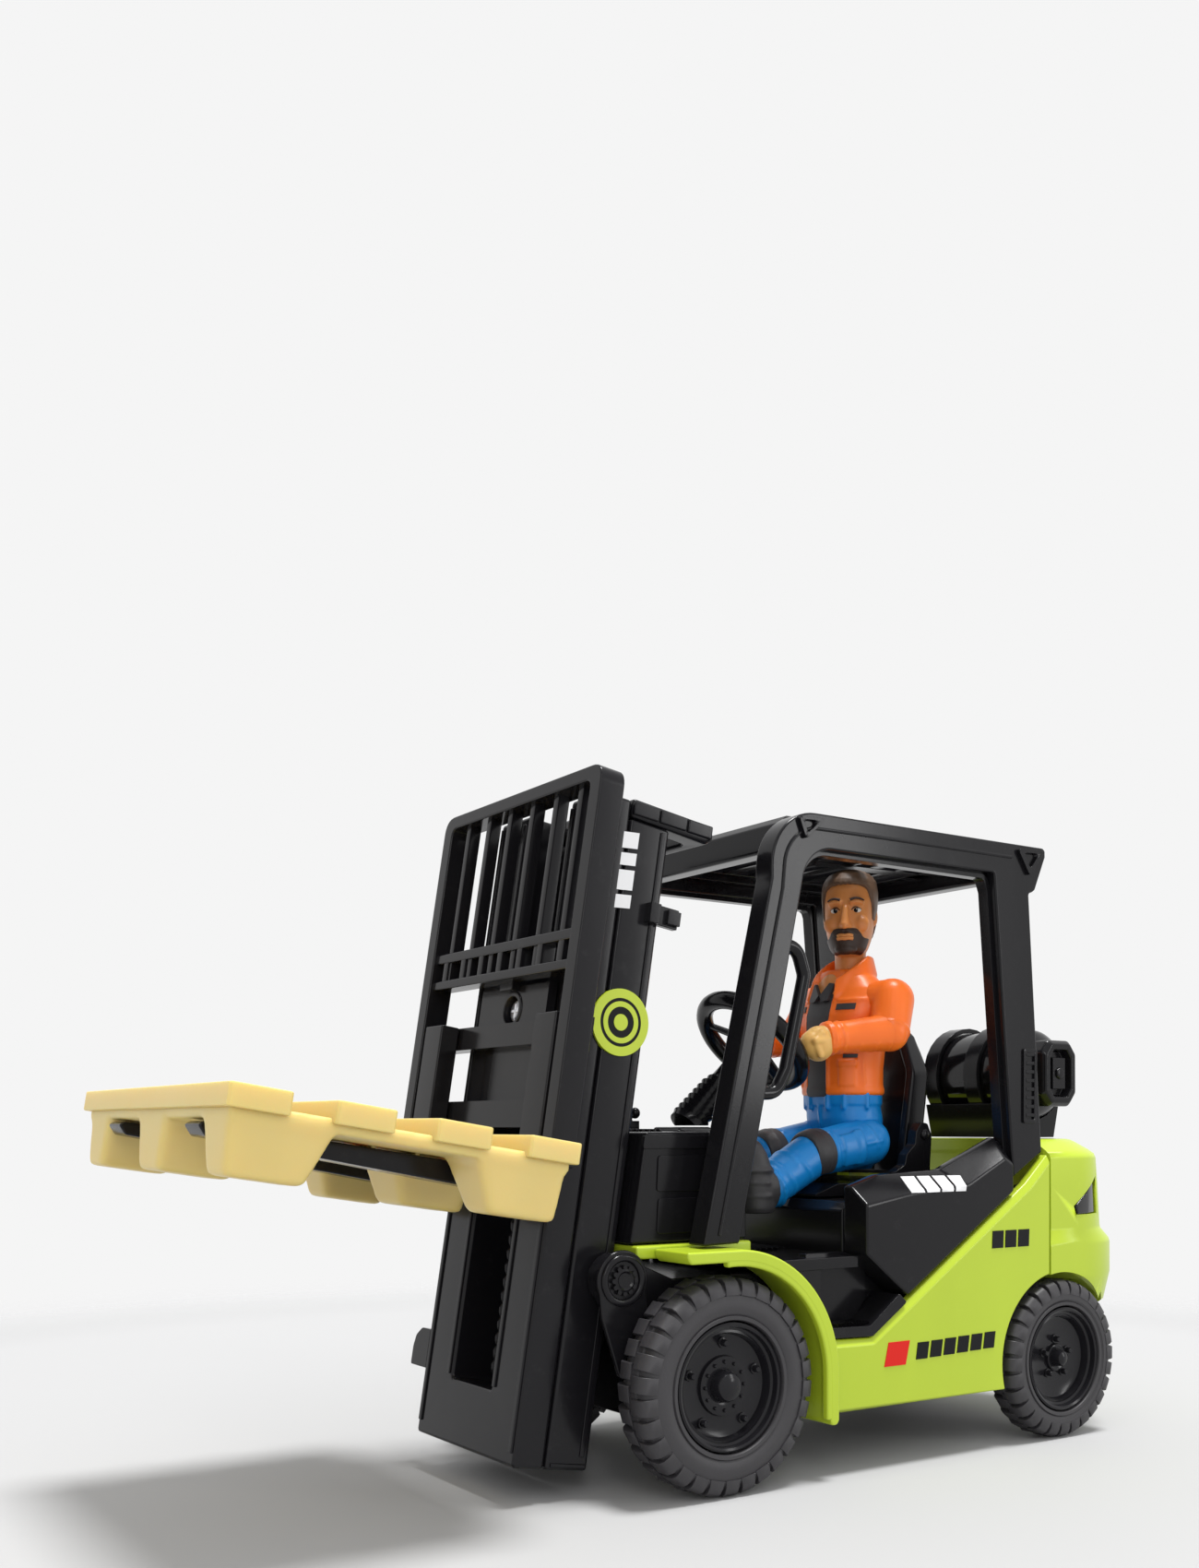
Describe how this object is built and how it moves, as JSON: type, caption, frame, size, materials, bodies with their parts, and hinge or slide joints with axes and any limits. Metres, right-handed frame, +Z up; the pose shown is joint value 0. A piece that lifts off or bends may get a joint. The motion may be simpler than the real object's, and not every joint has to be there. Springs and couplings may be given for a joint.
{
  "type": "toy forklift truck",
  "caption": "Toy counterbalance forklift truck with a tilting telescopic mast, forks under a pallet, overhead guard and a seated figure.",
  "frame": {"origin": "bottom centre of the whole object's box, on the ground the tyres stand on", "axes": "+Z up, -Y the way the truck faces, along its length, +X the truck's left side"},
  "size_m": [0.0892, 0.2447, 0.145],
  "materials": {
    "green_plastic": "gloss",
    "black_plastic": "gloss",
    "mast_black": "semi-gloss",
    "tyre": "matt",
    "rim_black": "gloss",
    "pallet_yellow": "satin",
    "lamp_black": "gloss",
    "jacket_orange": "satin",
    "trouser_blue": "satin",
    "skin": "satin",
    "hair": "satin",
    "glove_tan": "satin",
    "boot_grey": "matt",
    "decal_white": "matt",
    "steel": "bright"
  },
  "bodies": {
    "chassis": {"chassis_frame": "black_plastic", "body_side_left": "green_plastic", "body_side_right": "green_plastic", "front_deck": "green_plastic", "step_left": "black_plastic", "step_right": "black_plastic", "counterweight": "green_plastic", "tail_lamp_left": "lamp_black", "tail_lamp_right": "lamp_black", "front_cowl": "black_plastic", "floor_plate": "black_plastic", "seat_box": "black_plastic", "side_pod_left": "black_plastic", "side_pod_right": "black_plastic", "guard_side_left": "black_plastic", "guard_side_right": "black_plastic", "guard_roof": "black_plastic", "grab_handle": "black_plastic", "steering_column": "black_plastic", "control_levers": "black_plastic", "seat_pan": "black_plastic", "seat_back": "black_plastic", "tank_cradle": "black_plastic", "gas_tank": "black_plastic", "tank_collar": "black_plastic", "front_axle": "steel", "rear_axle_beam": "black_plastic", "driver_torso": "jacket_orange"},
    "steering_wheel": {"steering_wheel": "black_plastic"},
    "wheel_front_left": {"tyre_front_left": "tyre", "rim_front_left": "rim_black"},
    "wheel_rear_left": {"tyre_rear_left": "tyre", "rim_rear_left": "rim_black"},
    "knuckle_left": {"rear_knuckle_left": "black_plastic"},
    "wheel_front_right": {"tyre_front_right": "tyre", "rim_front_right": "rim_black"},
    "wheel_rear_right": {"tyre_rear_right": "tyre", "rim_rear_right": "rim_black"},
    "knuckle_right": {"rear_knuckle_right": "black_plastic"},
    "tie_bar": {"tie_bar": "black_plastic"},
    "mast": {"outer_mast": "mast_black", "tilt_pin_left": "mast_black", "tilt_pin_right": "mast_black"},
    "inner_mast": {"inner_mast": "mast_black", "mast_handle": "mast_black", "detent_rack": "mast_black"},
    "carriage": {"carriage": "mast_black", "load_backrest": "mast_black", "fork_left": "mast_black", "fork_right": "mast_black"},
    "pallet": {"pallet": "pallet_yellow"},
    "head": {"driver_head": "skin"},
    "upper_arm_left": {"driver_upper_arm_left": "jacket_orange"},
    "forearm_left": {"driver_forearm_left": "jacket_orange"},
    "thigh_left": {"driver_thigh_left": "trouser_blue"},
    "shin_left": {"driver_shin_left": "trouser_blue"},
    "upper_arm_right": {"driver_upper_arm_right": "jacket_orange"},
    "forearm_right": {"driver_forearm_right": "jacket_orange"},
    "thigh_right": {"driver_thigh_right": "trouser_blue"},
    "shin_right": {"driver_shin_right": "trouser_blue"}
  },
  "joints": [
    {"name": "mast_tilt", "type": "hinge", "parent": "chassis", "child": "mast", "pos_m": [0, -0.03471, 0.0435], "axis": [1, 0, 0], "range_deg": [0, 14]},
    {"name": "mast_extend", "type": "slide", "parent": "mast", "child": "inner_mast", "axis": [0, 0.1564, 0.9877], "range_m": [0, 0.06]},
    {"name": "carriage_lift", "type": "slide", "parent": "inner_mast", "child": "carriage", "axis": [0, 0.1564, 0.9877], "range_m": [-0.05, 0.04]},
    {"name": "pallet_slide", "type": "slide", "parent": "carriage", "child": "pallet", "axis": [0, -0.9877, 0.1564], "range_m": [0, 0.08]},
    {"name": "front_wheel_left", "type": "hinge", "parent": "chassis", "child": "wheel_front_left", "pos_m": [0.033, -0.01521, 0.0218], "axis": [1, 0, 0], "continuous": true},
    {"name": "rear_wheel_left", "type": "hinge", "parent": "knuckle_left", "child": "wheel_rear_left", "pos_m": [0.033, 0.08679, 0.0186], "axis": [1, 0, 0], "continuous": true},
    {"name": "front_wheel_right", "type": "hinge", "parent": "chassis", "child": "wheel_front_right", "pos_m": [-0.033, -0.01521, 0.0218], "axis": [1, 0, 0], "continuous": true},
    {"name": "rear_wheel_right", "type": "hinge", "parent": "knuckle_right", "child": "wheel_rear_right", "pos_m": [-0.033, 0.08679, 0.0186], "axis": [1, 0, 0], "continuous": true},
    {"name": "steer_left", "type": "hinge", "parent": "chassis", "child": "knuckle_left", "pos_m": [0.024, 0.08679, 0.0186], "axis": [0, 0, 1], "range_deg": [-15, 15]},
    {"name": "steer_right", "type": "hinge", "parent": "chassis", "child": "knuckle_right", "pos_m": [-0.024, 0.08679, 0.0186], "axis": [0, 0, 1], "range_deg": [-15, 15]},
    {"name": "tie_bar_slide", "type": "slide", "parent": "chassis", "child": "tie_bar", "axis": [1, 0, 0], "range_m": [-0.0022, 0.0022]},
    {"name": "steering_wheel_turn", "type": "hinge", "parent": "chassis", "child": "steering_wheel", "pos_m": [0, 0.02079, 0.094], "axis": [0, 0.7071, 0.7071], "continuous": true},
    {"name": "neck_turn", "type": "hinge", "parent": "chassis", "child": "head", "pos_m": [0, 0.05079, 0.115], "axis": [0, 0, 1], "range_deg": [-98, 22]},
    {"name": "shoulder_left", "type": "hinge", "parent": "chassis", "child": "upper_arm_left", "pos_m": [0.0132, 0.05079, 0.1054], "axis": [1, 0, 0], "range_deg": [-60, 0]},
    {"name": "elbow_left", "type": "hinge", "parent": "upper_arm_left", "child": "forearm_left", "pos_m": [0.0166, 0.04899, 0.0968], "axis": [1, 0, 0], "range_deg": [-25, 0]},
    {"name": "hip_left", "type": "hinge", "parent": "chassis", "child": "thigh_left", "pos_m": [0.0077, 0.05119, 0.0694], "axis": [1, 0, 0], "range_deg": [-10, 0]},
    {"name": "knee_left", "type": "hinge", "parent": "thigh_left", "child": "shin_left", "pos_m": [0.0082, 0.03219, 0.0672], "axis": [1, 0, 0], "range_deg": [-12, 0]},
    {"name": "shoulder_right", "type": "hinge", "parent": "chassis", "child": "upper_arm_right", "pos_m": [-0.0132, 0.05079, 0.1054], "axis": [1, 0, 0], "range_deg": [-60, 0]},
    {"name": "elbow_right", "type": "hinge", "parent": "upper_arm_right", "child": "forearm_right", "pos_m": [-0.0166, 0.04899, 0.0968], "axis": [1, 0, 0], "range_deg": [-25, 0]},
    {"name": "hip_right", "type": "hinge", "parent": "chassis", "child": "thigh_right", "pos_m": [-0.0077, 0.05119, 0.0694], "axis": [1, 0, 0], "range_deg": [-10, 0]},
    {"name": "knee_right", "type": "hinge", "parent": "thigh_right", "child": "shin_right", "pos_m": [-0.0082, 0.03219, 0.0672], "axis": [1, 0, 0], "range_deg": [-12, 0]}
  ],
  "couplings": [
    {"joint": "steer_right", "follows": "steer_left", "ratio": 1},
    {"joint": "tie_bar_slide", "follows": "steer_left", "m_per_rad": -0.008}
  ]
}
